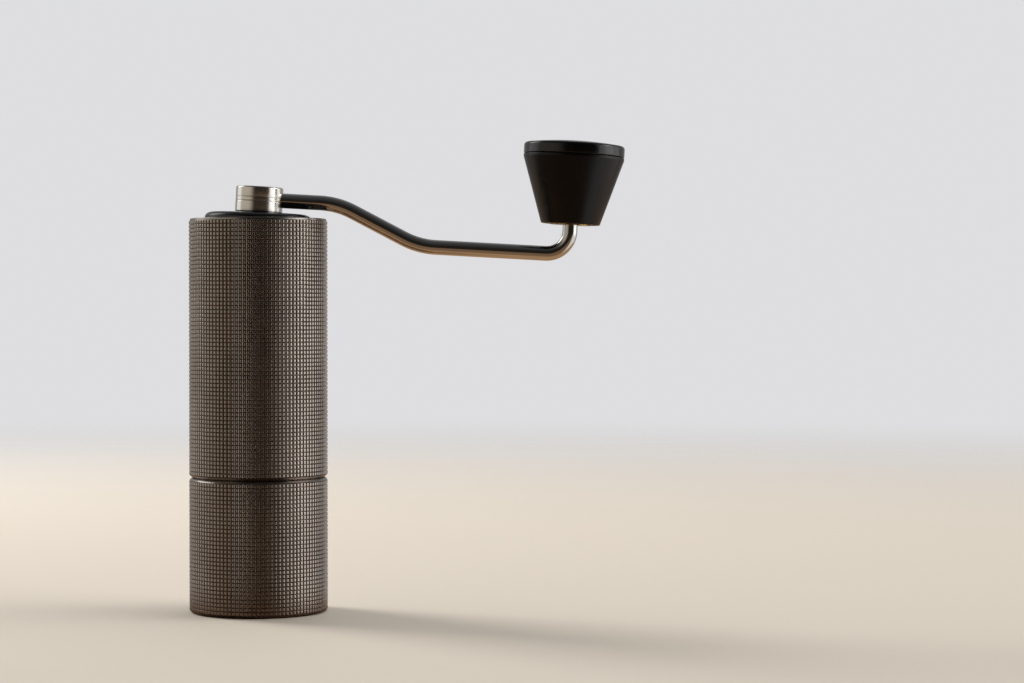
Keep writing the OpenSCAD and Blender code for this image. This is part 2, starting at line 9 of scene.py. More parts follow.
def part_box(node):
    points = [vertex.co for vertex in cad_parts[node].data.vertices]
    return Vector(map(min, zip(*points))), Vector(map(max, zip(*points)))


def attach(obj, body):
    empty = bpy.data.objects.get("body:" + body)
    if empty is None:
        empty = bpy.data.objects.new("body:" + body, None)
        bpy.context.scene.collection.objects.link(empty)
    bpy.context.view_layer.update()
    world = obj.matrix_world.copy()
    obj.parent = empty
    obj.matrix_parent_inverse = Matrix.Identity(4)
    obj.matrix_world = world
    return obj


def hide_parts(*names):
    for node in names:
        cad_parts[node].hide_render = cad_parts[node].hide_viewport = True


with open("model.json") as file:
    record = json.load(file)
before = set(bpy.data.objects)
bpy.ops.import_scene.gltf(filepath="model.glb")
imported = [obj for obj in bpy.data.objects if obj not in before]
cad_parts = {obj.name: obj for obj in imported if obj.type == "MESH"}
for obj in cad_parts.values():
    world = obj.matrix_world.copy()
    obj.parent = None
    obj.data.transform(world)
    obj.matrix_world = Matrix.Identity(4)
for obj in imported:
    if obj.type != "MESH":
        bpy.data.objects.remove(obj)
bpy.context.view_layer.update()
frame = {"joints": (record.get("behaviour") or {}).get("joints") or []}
mm = 0.001
weld = 0.0005 * mm          # vertices closer together than this become one
zAxis = Vector((0, 0, 1))


def boxOf(node):
    low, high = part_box(node)
    return Vector(low), Vector(high)


# where the frame puts things, in metres
tubeLow, tubeHigh = boxOf("outer_tube")
cupLow, cupHigh = boxOf("cup_shell")
padHigh = boxOf("base_pad")[1]
rim = tubeHigh.z
joints = {joint["name"]: joint for joint in frame["joints"]}


def tilted(axis):
    # the place of something on the rim that leans over in the plane of the arm
    lean = math.atan2(axis[0], axis[2])
    return Matrix.Translation((0, 0, rim)) @ Matrix.Rotation(lean, 4, "Y")


inHandle = tilted(joints["knob_spin"]["axis"])
inLid = tilted(joints["lid_spin"]["axis"])
pinReach = (inHandle.inverted() @ Vector(joints["knob_spin"]["pos_m"])).x
onPin = inHandle @ Matrix.Translation((pinReach, 0, 0))


# materials

def linear(hexColour):
    values = [int(hexColour[i:i + 2], 16) / 255 for i in (1, 3, 5)]
    return [v / 12.92 if v <= 0.04045 else ((v + 0.055) / 1.055) ** 2.4 for v in values] + [1.0]


def addNode(tree, kind, settings=None, inputs=None, stops=()):
    # an input is a value or the socket it is linked to; stops are (position, grey) or (position, hex colour)
    new = tree.nodes.new(kind)
    for name, value in (settings or {}).items():
        setattr(new, name, value)
    for socket, value in (inputs or {}).items():
        if isinstance(value, bpy.types.NodeSocket):
            tree.links.new(value, new.inputs[socket])
        else:
            new.inputs[socket].default_value = value
    if stops:
        elements = new.color_ramp.elements
        while len(elements) < len(stops):
            elements.new(0.5)
        for element, (position, value) in zip(elements, stops):
            element.position = position
            element.color = linear(value) if isinstance(value, str) else (value, value, value, 1)
    return new


def startMaterial(name, shaderInputs):
    material = bpy.data.materials.new(name)
    material.use_nodes = True
    tree = material.node_tree
    tree.nodes.clear()
    shader = addNode(tree, "ShaderNodeBsdfPrincipled", None, shaderInputs)
    place = addNode(tree, "ShaderNodeTexCoord").outputs["Object"]
    return material, tree, shader, place


metal = {
    "base": {"Metallic": 1.0},
    "patch": 18.2,          # mm across a patch that is a little lighter or darker
    "patchLayers": 4.0,
    "patchBreakUp": 0.6,
    "markBreakUp": 0.55,
    "relief": 0.05,         # mm from the lowest to the highest of the marks
}
plastic = {
    "base": {"Metallic": 0.0, "IOR": 1.5},
    "patch": 11.1,
    "patchLayers": 3.0,
    "patchBreakUp": 0.5,
    "markBreakUp": 0.5,
    "relief": 0.04,
}


def finish(name, family, light, dark, roughness, grain, bump, stretch=(1, 1, 1), layers=2.0, gloss=None):
    # grain is the width of the marks in mm, stretch how many times longer they are along x, y and z, and
    # roughness its lowest and highest value
    material, tree, shader, place = startMaterial(name, {**family["base"], **(gloss or {})})
    patches = addNode(tree, "ShaderNodeTexNoise", None,
                      {"Vector": place, "Scale": 1 / (family["patch"] * mm), "Detail": family["patchLayers"],
                       "Roughness": family["patchBreakUp"]})
    sized = addNode(tree, "ShaderNodeMapping", None,
                    {"Vector": place, "Scale": [1 / (grain * mm * times) for times in stretch]})
    marks = addNode(tree, "ShaderNodeTexNoise", None,
                    {"Vector": sized.outputs[0], "Scale": 1.0, "Detail": layers,
                     "Roughness": family["markBreakUp"]})
    colour = addNode(tree, "ShaderNodeValToRGB", None, {"Fac": patches.outputs["Fac"]},
                     [(0.3, dark), (0.7, light)])
    tree.links.new(colour.outputs["Color"], shader.inputs["Base Color"])
    # a metal's polish follows the marks of the tool, a moulding's the patches of its mould
    worn = marks if family is metal else patches
    polish = addNode(tree, "ShaderNodeMapRange", None,
                     {"Value": worn.outputs["Fac"], "From Min": 0.3, "From Max": 0.7,
                      "To Min": roughness[0], "To Max": roughness[1]})
    tree.links.new(polish.outputs[0], shader.inputs["Roughness"])
    height = addNode(tree, "ShaderNodeBump", None,
                     {"Height": marks.outputs["Fac"], "Strength": bump, "Distance": family["relief"] * mm})
    tree.links.new(height.outputs[0], shader.inputs["Normal"])
    addNode(tree, "ShaderNodeOutputMaterial", None, {"Surface": shader.outputs[0]})
    return material


# aluminium, knurled, blasted and anodised: a warm grey brown with a satin sheen that breaks up on the blocks.
# Real blast marks are about 0.1 mm wide and would not show, so they are drawn wider
anodised = finish("anodised aluminium", metal, "#a29991", "#938a83", (0.21, 0.29), 0.35, 0.10, layers=3.0)

# stainless steel from the lathe: rings round the hub, which pull the reflections out along its height. The
# real rings are finer and are drawn as wide as they need to show
turnedSteel = finish("turned stainless steel", metal, "#e4dfd8", "#d9d5ce", (0.21, 0.25), 0.2, 0.004,
                     (600, 600, 1), gloss={"Anisotropic": 0.5, "Anisotropic Rotation": 0.25})

# stainless rod, drawn, bent and polished: nearly a mirror, with soft unevenness left by the drawing
polishedSteel = finish("polished stainless steel", metal, "#cdc9c3", "#c0bcb6", (0.08, 0.14), 2.0, 0.05)

# stainless steel, brushed round: a soft grey with broad streaks across its height
brushedSteel = finish("brushed steel", metal, "#bcb9b3", "#aeaba5", (0.24, 0.36), 0.45, 0.25, (14, 14, 1))

# aluminium, milled and left bare: a dull light grey, a little mottled
machinedAluminium = finish("machined aluminium", metal, "#a5a19a", "#96928b", (0.30, 0.42), 1.1, 0.18,
                           layers=3.0)

# tool steel, hardened and ground: brighter than the brackets, with a fine cloudy grain
burrSteel = finish("hardened burr steel", metal, "#c6c3bd", "#b2afa8", (0.20, 0.32), 0.7, 0.15, layers=3.0)

# steel with a black oxide skin: nearly black, with a dull metal sheen on its edges
blackSteel = finish("black oxide steel", metal, "#3d3d40", "#2f2f32", (0.28, 0.40), 0.6, 0.15, layers=3.0)

# bearing steel, ground and lapped: a cool, clear mirror
bearingSteel = finish("bearing steel", metal, "#d6d8da", "#cfd1d3", (0.07, 0.13), 1.1, 0.04)

# brass from the lathe: a warm yellow with fine rings, again drawn wider than they are
turnedBrass = finish("turned brass", metal, "#c09a5e", "#b08d57", (0.17, 0.27), 0.2, 0.2, (600, 600, 1))

# spring wire, drawn: a darker grey with a satin sheen
springSteel = finish("drawn spring steel", metal, "#95979b", "#85878b", (0.20, 0.30), 1.25, 0.1)

# ABS from a spark eroded mould: deep black with a broad, weak sheen. The mould's grain is really finer than
# 0.1 mm on this and on the other mouldings, and is drawn as wide as it needs to show
mouldedPlastic = finish("moulded black plastic", plastic, "#060506", "#040304", (0.26, 0.35), 0.3, 0.10,
                        gloss={"Specular IOR Level": 0.24})

# ABS from a polished mould: the same black with a sharper sheen, which draws the edge of the knob's cap
polishedPlastic = finish("polished black plastic", plastic, "#060607", "#040404", (0.14, 0.23), 0.3, 0.05,
                         gloss={"Specular IOR Level": 0.48})

# ABS from a finely blasted mould: a satin black that lightens where the lid slopes away
satinPlastic = finish("satin black plastic", plastic, "#0a0a0b", "#070707", (0.20, 0.29), 0.3, 0.08)

# silicone rubber, moulded: a dull black almost without a sheen
padRubber = finish("black silicone rubber", plastic, "#101010", "#0b0b0b", (0.58, 0.67), 0.4, 0.2,
                   gloss={"Specular IOR Level": 0.3})
print("materials ready:", len(bpy.data.materials))


# modelling helpers

def meshPiece(name, bm, body, material, replaced, place=None, sharpAngle=32):
    bmesh.ops.remove_doubles(bm, verts=bm.verts, dist=weld)
    bmesh.ops.recalc_face_normals(bm, faces=bm.faces)
    if place is not None:
        bm.transform(place)
    for face in bm.faces:
        face.smooth = True
    mesh = bpy.data.meshes.new(name)
    bm.to_mesh(mesh)
    bm.free()
    mesh.set_sharp_from_angle(angle=math.radians(sharpAngle))
    mesh.materials.append(material)
    piece = bpy.data.objects.new(name, mesh)
    bpy.context.scene.collection.objects.link(piece)
    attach(piece, body)
    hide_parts(replaced)


def turned(corners, steps=128, closed=True):
    # a lathe blank from (radius, height, rounding) corners in mm; an open outline ends on the axis
    bm = bmesh.new()
    verts = [bm.verts.new((r * mm, 0, z * mm)) for r, z, _ in corners]
    pairs = list(zip(verts, verts[1:]))
    if closed:
        pairs.append((verts[-1], verts[0]))
    for pair in pairs:
        bm.edges.new(pair)
    for vert, (_, _, rounding) in zip(verts, corners):
        if rounding:
            bmesh.ops.bevel(bm, geom=[vert], offset=rounding * mm, segments=5, profile=0.5,
                            affect="VERTICES", material=-1)
    bmesh.ops.spin(bm, geom=bm.verts[:] + bm.edges[:], cent=(0, 0, 0), axis=zAxis, angle=math.tau,
                   steps=steps, use_merge=True, use_duplicate=False)
    return bm


def arc(centreR, centreZ, radius, fromAngle, toAngle, count=6):
    angles = [math.radians(fromAngle + (toAngle - fromAngle) * i / count) for i in range(count + 1)]
    return [(centreR + radius * math.cos(a), centreZ + radius * math.sin(a)) for a in angles]


# the knurl of the body and the cup

knurl = {
    "columns": 104,         # blocks round the barrel
    "pitch": 1.515,         # mm from one row to the next
    "depth": 0.40,          # mm from the groove to the top of a block
    "slope": 0.22,          # mm from the middle of a groove to the edge of a block
    "crown": 0.12,          # mm of softened edge on top of each block
    "crownDepth": 0.06,     # mm that the softened edge rises
    "slack": 0.012,         # mm that the blocks stay inside the radius of the barrel
    "narrow": 0.86,         # the upright grooves are wider: each inset leaves this share of the width
    "shoulder": 0.05,       # mm from a chamfer to the first or last groove
}
outR = tubeHigh.x / mm
grooveR = outR - knurl["depth"]


def knurledTube(outline, knurlLow, knurlHigh):
    # outline: (radius, height) corners in mm, from the top of the knurl round the inside and back to its foot
    bm = bmesh.new()
    rows = round((knurlHigh - knurlLow) / knurl["pitch"])
    heights = [knurlLow + (knurlHigh - knurlLow) * row / rows for row in range(rows + 1)]
    path = [(grooveR, z) for z in heights] + outline
    start = bmesh.ops.create_circle(bm, segments=knurl["columns"], radius=path[0][0] * mm,
                                    matrix=Matrix.Translation((0, 0, path[0][1] * mm)))["verts"]
    ring = list({edge for vert in start for edge in vert.link_edges})
    blocks = []
    for index, (radius, height) in enumerate(path[1:] + path[:1]):
        grown = bmesh.ops.extrude_edge_only(bm, edges=ring)["geom"]
        ring = [g for g in grown if isinstance(g, bmesh.types.BMEdge)]
        for vert in [g for g in grown if isinstance(g, bmesh.types.BMVert)]:
            outward = Vector((vert.co.x, vert.co.y, 0)).normalized()
            vert.co = outward * radius * mm + zAxis * height * mm
        if index < rows:
            blocks += [g for g in grown if isinstance(g, bmesh.types.BMFace)]
    bmesh.ops.remove_doubles(bm, verts=bm.verts, dist=weld)
    bmesh.ops.recalc_face_normals(bm, faces=bm.faces)
    # each face between the grooves rises in a slope and then in a softened edge
    for thickness, depth in ((knurl["slope"], knurl["depth"] - knurl["crownDepth"] - knurl["slack"]),
                             (knurl["crown"], knurl["crownDepth"])):
        bmesh.ops.inset_individual(bm, faces=blocks, thickness=thickness * mm, depth=depth * mm,
                                   use_even_offset=True)
        for face in blocks:
            middle = face.calc_center_median()
            sideways = zAxis.cross(face.normal).normalized()
            for vert in face.verts:
                vert.co -= sideways * (vert.co - middle).dot(sideways) * (1 - knurl["narrow"])
    return bm


# body

body = {
    "seamChamfer": 1.3,     # mm, the upper half of the V seam
    "rimRound": 0.45,
    "plainBand": 0.35,      # mm of smooth wall between the knurl and the rounded rim
    "wall": 3.0,
    "lip": 2.2,             # mm that the mouth is narrower than the bore, on each side
    "lipHeight": 3.0,
    "edge": 0.25,           # mm chamfer on the lip's inner edge
    "boreChamfer": 0.2,
}
bodyFoot, bodyTop = tubeLow.z / mm, tubeHigh.z / mm
boreR = outR - body["wall"]
mouthR = boreR - body["lip"]
lipFoot = bodyTop - body["lipHeight"]
bodyKnurlLow = bodyFoot + body["seamChamfer"]
bodyKnurlHigh = bodyTop - body["rimRound"] - body["plainBand"]
bodyOutline = arc(grooveR - body["rimRound"], bodyTop - body["rimRound"], body["rimRound"], 0, 90) + [
    (mouthR + body["edge"], bodyTop),
    (mouthR, bodyTop - body["edge"]),
    (mouthR, lipFoot),
    (boreR, lipFoot),
    (boreR, bodyFoot + body["boreChamfer"]),
    (boreR + body["boreChamfer"], bodyFoot),
    (outR - body["seamChamfer"], bodyFoot),
    (outR - knurl["shoulder"], bodyKnurlLow - knurl["shoulder"]),
]
meshPiece("body_shell", knurledTube(bodyOutline, bodyKnurlLow, bodyKnurlHigh), "housing", anodised,
          "outer_tube", sharpAngle=24)
print("body ready")


# cup

cup = {
    "seamChamfer": 0.8,     # mm, the lower half of the V seam
    "footChamfer": 0.6,
    "wall": 2.7,
    "floor": 2.0,
    "fillet": 3.0,          # mm radius between the wall and the floor inside
    "mouthChamfer": 0.2,
    "threadPitch": 2.0,
    "threadLength": 8.0,
    "threadRidge": 0.6,     # mm that a ridge of the thread stands in from the wall
    "padGap": 0.05,         # mm over the foot pad
    "padSideGap": 0.03,
    "recessChamfer": 0.15,  # mm round the recess for the pad
    "middle": 0.01,         # mm from the axis, where the floor's outline turns back
}
# a ridge of the thread as (share of the pitch, share of the ridge's height), from its top to its foot
ridge = ((0.35, 0), (0.1, 1), (-0.1, 1), (-0.35, 0))
cupFoot, cupTop = cupLow.z / mm, cupHigh.z / mm
cupInner = outR - cup["wall"]
recessZ = padHigh.z / mm + cup["padGap"]
recessR = padHigh.x / mm + cup["padSideGap"]
cupFloor = recessZ + cup["floor"]
cupKnurlLow = cupFoot + cup["footChamfer"]
cupKnurlHigh = cupTop - cup["seamChamfer"]
ridgeCount = int(cup["threadLength"] / cup["threadPitch"])
ridges = [cupTop - cup["threadPitch"] * (turn + 0.5) for turn in range(ridgeCount)]
threadOutline = [(cupInner - inward * cup["threadRidge"], height + offset * cup["threadPitch"])
                 for height in ridges for offset, inward in ridge]
cupOutline = [
    (outR - knurl["shoulder"], cupKnurlHigh + knurl["shoulder"]),
    (outR - cup["seamChamfer"], cupTop),
    (cupInner + cup["mouthChamfer"], cupTop),
    (cupInner, cupTop - cup["mouthChamfer"]),
] + threadOutline + arc(cupInner - cup["fillet"], cupFloor + cup["fillet"], cup["fillet"], 0, -90) + [
    (cup["middle"], cupFloor),
    (cup["middle"], recessZ),
    (recessR, recessZ),
    (recessR, cupFoot + cup["recessChamfer"]),
    (recessR + cup["recessChamfer"], cupFoot),
    (outR - cup["footChamfer"], cupFoot),
    (outR - knurl["shoulder"], cupKnurlLow - knurl["shoulder"]),
]
meshPiece("cup_knurled", knurledTube(cupOutline, cupKnurlLow, cupKnurlHigh), "cup", anodised,
          "cup_shell", sharpAngle=24)
print("cup ready")


# lid

lidDisc = {
    "above": 2.1,           # mm that the disc's face stands over the rim
    "below": 2.0,
    "gap": 0.8,             # mm round the disc in the mouth of the body
    "hole": 6.65,           # mm radius of the hole for the hub's neck
    "slopeWidth": 3.2,      # mm over which the edge falls away
    "slopeDrop": 2.0,
    "recess": 2.4,          # mm of shallow recess round the hole
    "recessDepth": 0.25,
}
lidR = mouthR - lidDisc["gap"]
slopeFoot = lidDisc["above"] - lidDisc["slopeDrop"]
recessFloor = lidDisc["above"] - lidDisc["recessDepth"]
slopeAngles = [math.pi / 2 * i / 10 for i in range(11)]
lidCorners = [
    (lidDisc["hole"], -lidDisc["below"], 0.2),
    (lidR, -lidDisc["below"], 0.4),
] + [
    # the edge falls away in a long soft slope, a quarter of an ellipse
    (lidR - lidDisc["slopeWidth"] * (1 - math.cos(a)), slopeFoot + lidDisc["slopeDrop"] * math.sin(a), 0)
    for a in slopeAngles
] + [
    (lidDisc["hole"] + lidDisc["recess"], lidDisc["above"], 0),
    (lidDisc["hole"] + lidDisc["recess"] - 0.2, recessFloor, 0),
    (lidDisc["hole"], recessFloor, 0.2),
]
meshPiece("lid_disc", turned(lidCorners, 160), "cover", satinPlastic,
          "lid", inLid)
print("lid ready")


# hub and its cap

hub = {
    "radius": 8.85,
    "top": 12.05,           # mm over the rim, as are the other heights
    "bottom": 2.5,
    "seam": 8.0,            # where the cap sits on the hub
    "capGap": 0.14,
    "capGroove": 0.5,       # mm that the seam reaches in
    "hairline": 6.6,        # height of the fine turned line
    "hairlineWidth": 0.3,
    "hairlineDepth": 0.14,
    "neck": 6.4,            # mm radius of the neck that carries the lid
    "neckLength": 6.0,
    "socket": 4.79,         # mm radius of the bore for the shaft's hexagon
    "cut": 0.02,            # mm that the hub stays below its cap
}
hubCorners = [
    (hub["socket"], -hub["neckLength"], 0),
    (hub["neck"], -hub["neckLength"], 0.4),
    (hub["neck"], hub["bottom"], 0.2),
    (hub["radius"], hub["bottom"], 0.35),
    (hub["radius"], hub["hairline"] - hub["hairlineWidth"] / 2, 0.12),
    (hub["radius"] - hub["hairlineDepth"], hub["hairline"], 0),
    (hub["radius"], hub["hairline"] + hub["hairlineWidth"] / 2, 0.05),
    (hub["radius"], hub["seam"] - hub["cut"], 0.1),
    (hub["socket"], hub["seam"] - hub["cut"], 0),
]
hubCapCorners = [
    (0, hub["seam"], 0),
    (hub["radius"] - hub["capGroove"], hub["seam"], 0),
    # the seam is a little narrower at its bottom than at the edge
    (hub["radius"] - hub["capGroove"] + 0.05, hub["seam"] + hub["capGap"], 0),
    (hub["radius"], hub["seam"] + hub["capGap"] + 0.02, 0.06),
    (hub["radius"], hub["top"], 0.7),
    (0, hub["top"], 0),
]
meshPiece("hub_turned", turned(hubCorners), "handle", turnedSteel,
          "crank_hub", inHandle, 28)
meshPiece("hub_cap_turned", turned(hubCapCorners, closed=False), "handle", turnedSteel,
          "hub_cap", inHandle, 28)
print("hub ready")


# crank arm

arm = {
    "rod": 5.6,             # mm across
    "sides": 40,
    "start": 5.15,          # mm out from the middle, inside the hub
    "upper": 7.25,          # mm over the rim where the rod leaves the hub
    "firstBend": 23.0,      # mm out from the middle
    "lower": -7.13,         # mm, where the rod runs level again
    "slope": 24.65,         # degrees between the two gentle bends
    "bend": 30.0,           # mm radius of the gentle bends
    "bendSteps": 14,
    "pinBend": 8.7,         # mm radius of the bend up into the pin
    "pinSteps": 24,
    "pinTop": 25.8,
}


def bentRod(shape, reach):
    # a rod drawn along its centre line by extruding its end ring and spinning it round each bend
    bm = bmesh.new()
    middle = Vector((shape["start"], 0, shape["upper"]))
    facing = Matrix.Translation(middle * mm) @ Matrix.Rotation(math.pi / 2, 4, "Y")
    start = bmesh.ops.create_circle(bm, segments=shape["sides"], radius=shape["rod"] / 2 * mm, cap_ends=True,
                                    matrix=facing)["verts"]
    ring = list({edge for vert in start for edge in vert.link_edges})
    heading = 0.0

    def straight(ring, middle, heading, length):
        way = Vector((math.cos(heading), 0, math.sin(heading))) * length
        grown = bmesh.ops.extrude_edge_only(bm, edges=ring)["geom"]
        verts = [g for g in grown if isinstance(g, bmesh.types.BMVert)]
        bmesh.ops.translate(bm, verts=verts, vec=way * mm)
        return [g for g in grown if isinstance(g, bmesh.types.BMEdge)], middle + way

    def bent(ring, middle, heading, radius, angle, steps):
        # a positive angle turns upwards
        side = math.copysign(1, angle)
        centre = middle + Vector((-math.sin(heading), 0, math.cos(heading))) * radius * side
        last = bmesh.ops.spin(bm, geom=ring, cent=centre * mm, axis=(0, -1, 0), angle=angle, steps=steps,
                              use_merge=False, use_duplicate=False)["geom_last"]
        out = centre + Matrix.Rotation(-angle, 3, "Y") @ (middle - centre)
        return [g for g in last if isinstance(g, bmesh.types.BMEdge)], out, heading + angle

    slope = math.radians(shape["slope"])
    drop = shape["bend"] * (1 - math.cos(slope))
    fall = (shape["upper"] - shape["lower"] - 2 * drop) / math.sin(slope)
    ring, middle = straight(ring, middle, heading, shape["firstBend"] - shape["start"])
    ring, middle, heading = bent(ring, middle, heading, shape["bend"], -slope, shape["bendSteps"])
    ring, middle = straight(ring, middle, heading, fall)
    ring, middle, heading = bent(ring, middle, heading, shape["bend"], slope, shape["bendSteps"])
    ring, middle = straight(ring, middle, heading, reach - shape["pinBend"] - middle.x)
    ring, middle, heading = bent(ring, middle, heading, shape["pinBend"], math.pi / 2, shape["pinSteps"])
    ring, middle = straight(ring, middle, heading, shape["pinTop"] - middle.z)
    bmesh.ops.contextual_create(bm, geom=ring)
    return bm


meshPiece("arm_rod", bentRod(arm, pinReach / mm), "handle", polishedSteel,
          "crank_arm", inHandle)
print("arm ready")


# knob and its cap

knob = {
    "foot": 11.05,          # mm radius of the cone at its foot
    "head": 18.95,          # mm radius of the cone at its top and of the cap
    "bottom": 4.3,          # mm over the rim, as are the other heights
    "cone": 29.1,
    "seam": 30.2,
    "seamGap": 0.12,
    "side": 34.3,           # where the cap's side ends
    "dome": 1.4,            # mm that the cap's face rises
    "flange": 7.53,         # mm radius of the recess for the bush's flange
    "flangeDepth": 0.8,
    "cavity": 7.5,          # mm radius of the cavity for the screw
    "cavityDepth": 4.7,
    "bush": 4.7,            # mm radius of the bore
}
cavityFloor = knob["seam"] - knob["cavityDepth"]
knobCorners = [
    (knob["bush"], knob["bottom"] + knob["flangeDepth"], 0),
    (knob["flange"], knob["bottom"] + knob["flangeDepth"], 0),
    (knob["flange"], knob["bottom"] + 0.1, 0.1),
    (knob["flange"] + 0.6, knob["bottom"] + 0.1, 0.1),
    # the foot is dished a little between the flange and the edge
    (knob["foot"] - 1.3, knob["bottom"] + 0.5, 0.2),
    (knob["foot"] - 0.7, knob["bottom"], 0.15),
    (knob["foot"], knob["bottom"], 0.35),
    (knob["head"], knob["cone"], 0.3),
    (knob["head"], knob["seam"] - knob["seamGap"], 0.25),
    # the seam with the cap is a hollow step at the edge only
    (knob["head"] - 0.5, knob["seam"] - 0.1, 0),
    (knob["cavity"], knob["seam"] - 0.1, 0),
    (knob["cavity"], cavityFloor, 0),
    (knob["bush"], cavityFloor, 0),
]
meshPiece("knob_cone", turned(knobCorners, 160), "knob", mouldedPlastic,
          "knob_body", onPin, 26)

# the cap's face is a very shallow part of a ball
domeRadius = (knob["head"] ** 2 + knob["dome"] ** 2) / (2 * knob["dome"])
domeMiddle = knob["side"] + knob["dome"] - domeRadius
domeReaches = [knob["head"] * part for part in (0.93, 0.75, 0.5, 0.25, 0)]
knobCapCorners = [
    (0, knob["seam"] + knob["seamGap"], 0),
    (knob["head"] - 0.6, knob["seam"] + knob["seamGap"], 0),
    (knob["head"], knob["seam"] + knob["seamGap"], 0.25),
    (knob["head"], knob["side"] + 0.1, 1.1),
] + [(r, domeMiddle + math.sqrt(domeRadius ** 2 - r ** 2), 0) for r in domeReaches]
meshPiece("knob_top", turned(knobCapCorners, 160, closed=False), "knob", polishedPlastic,
          "knob_cap", onPin, 26)
print("knob ready")


# finishes of the pieces that stay as the frame has them

balls = [f"{row}_ball_{i}" for row in ("upper", "lower") for i in range(1, 8)]
races = [f"{row}_{side}_race" for row in ("upper", "lower") for side in ("outer", "inner")]
finishes = [
    (brushedSteel, ["upper_liner", "lower_liner", "shaft", "knob_washer"]),
    (machinedAluminium, ["upper_bracket", "lower_bracket", "burr_holder", "dial"]),
    (burrSteel, ["ring_burr", "inner_burr", "click_plate"]),
    (blackSteel, ["snap_ring", "grub_screw_1", "grub_screw_2", "grub_screw_3", "shaft_clip", "end_clip",
                  "lid_clip", "knob_screw"]),
    (bearingSteel, races + balls + ["detent_ball_1", "detent_ball_2"]),
    (turnedBrass, ["upper_cage", "lower_cage", "knob_bush"]),
    (springSteel, ["burr_spring", "detent_spring_1", "detent_spring_2"]),
    (padRubber, ["base_pad"]),
]
for material, nodes in finishes:
    for node in nodes:
        for materialSlot in bpy.data.objects[node].material_slots:
            materialSlot.material = material
print("finishes ready")


# floor

ground = {
    "radius": 4.0,          # metres
    "colour": "#d9cebf",
    "reflected": "#8c6848",         # the brown of a wooden table, which only reflections see
    "fade": (0.35, 1.6),    # metres from the middle over which the floor passes into the backdrop
    "reflectedFade": (0.04, 0.10),
}
floorMesh = bpy.data.meshes.new("floor")
bm = bmesh.new()
bmesh.ops.create_circle(bm, cap_ends=True, segments=96, radius=ground["radius"])
bm.to_mesh(floorMesh)
bm.free()
floor = bpy.data.objects.new("floor", floorMesh)
bpy.context.scene.collection.objects.link(floor)
# matt paint: pale and even, brown only where the metal sees it
floorPaint, tree, paint, place = startMaterial("pale painted floor", {"Roughness": 0.7})
floorMesh.materials.append(floorPaint)
isGlossy = addNode(tree, "ShaderNodeLightPath").outputs["Is Glossy Ray"]
colour = addNode(tree, "ShaderNodeMix", {"data_type": "RGBA"},
                 {0: isGlossy, 6: linear(ground["colour"]), 7: linear(ground["reflected"])})
tree.links.new(colour.outputs[2], paint.inputs["Base Color"])
# far from the grinder the floor fades into the backdrop, so no horizon shows, and in reflections only the
# ground close to the foot is taken from the floor, the rest from the room
reach = addNode(tree, "ShaderNodeVectorMath", {"operation": "LENGTH"}, {0: place})
fade = addNode(tree, "ShaderNodeMapRange", {"interpolation_type": "SMOOTHSTEP"},
               {"Value": reach.outputs["Value"], "From Min": ground["fade"][0],
                "From Max": ground["fade"][1]})
reflectedFade = addNode(tree, "ShaderNodeMapRange", {"interpolation_type": "SMOOTHSTEP"},
                        {"Value": reach.outputs["Value"], "From Min": ground["reflectedFade"][0],
                         "From Max": ground["reflectedFade"][1]})
onlyGlossy = addNode(tree, "ShaderNodeMath", {"operation": "MULTIPLY"},
                     {0: isGlossy, 1: reflectedFade.outputs[0]})
gone = addNode(tree, "ShaderNodeMath", {"operation": "MAXIMUM"},
               {0: fade.outputs[0], 1: onlyGlossy.outputs[0]})
nothing = addNode(tree, "ShaderNodeBsdfTransparent")
fading = addNode(tree, "ShaderNodeMixShader", None,
                 {0: gone.outputs[0], 1: paint.outputs[0], 2: nothing.outputs[0]})
addNode(tree, "ShaderNodeOutputMaterial", None, {"Surface": fading.outputs[0]})
print("floor ready")


# the room that the metal reflects

room = {
    "strength": 2.2,
    "blend": 6,             # degrees over which one wall passes into the next
    # a wall is (azimuth in degrees where it starts, its grey or colour); 0 is towards the camera and a
    # positive azimuth is to the right. From the left: pale walls that darken towards the front, the dim room
    # in front, the door's frame, the white door, its far side, and the dark behind the grinder
    "walls": [(-128, 0.44), (-95, "#868178"), (-46, "#7e7971"), (-35, "#5e5953"), (-25, "#1a1714"),
              (57, 0.60), (73, 1.0), (100, 0.56), (122, 0.15)],
    "shadedWalls": [(-128, 0.20), (-95, "#5f4c3b"), (50, 0.45), (125, 0.10)],
    "roof": [(0.0, "#1e1e20"), (0.5, "#363739"), (1.0, "#696b6e")],
    # where the roof and the shade begin and are full, as the height of a direction: 1 is straight up
    "roofFrom": (0.40, 0.80),
    "shadeFrom": (-0.07, -0.22),
    "table": "#876c52",
    # the round table's middle and its edge, counted in heights above the table: it reaches further behind
    # the grinder than in front of it
    "tableMiddle": (-0.6, 2.65, -1),
    "tableEdge": (3.7, 3.2),
    "backdrop": "#dedee0",
}


def wallStops(bands):
    half = room["blend"] / 2
    before = bands[-1][1]
    stops = [(0.0, before)]
    for azimuth, colour in bands:
        stops += [((azimuth + 180 - half) / 360, before), ((azimuth + 180 + half) / 360, colour)]
        before = colour
    return stops + [(1.0, before)]


world = bpy.data.worlds.new("studio")
bpy.context.scene.world = world
world.use_nodes = True
tree = world.node_tree
tree.nodes.clear()
direction = addNode(tree, "ShaderNodeTexCoord").outputs["Generated"]
along = addNode(tree, "ShaderNodeSeparateXYZ", None, {"Vector": direction})
front = addNode(tree, "ShaderNodeMath", {"operation": "MULTIPLY"}, {0: along.outputs["Y"], 1: -1.0})
turn = addNode(tree, "ShaderNodeMath", {"operation": "ARCTAN2"},
               {0: along.outputs["X"], 1: front.outputs[0]})
wholeTurn = addNode(tree, "ShaderNodeMapRange", None,
                    {"Value": turn.outputs[0], "From Min": -math.pi, "From Max": math.pi})
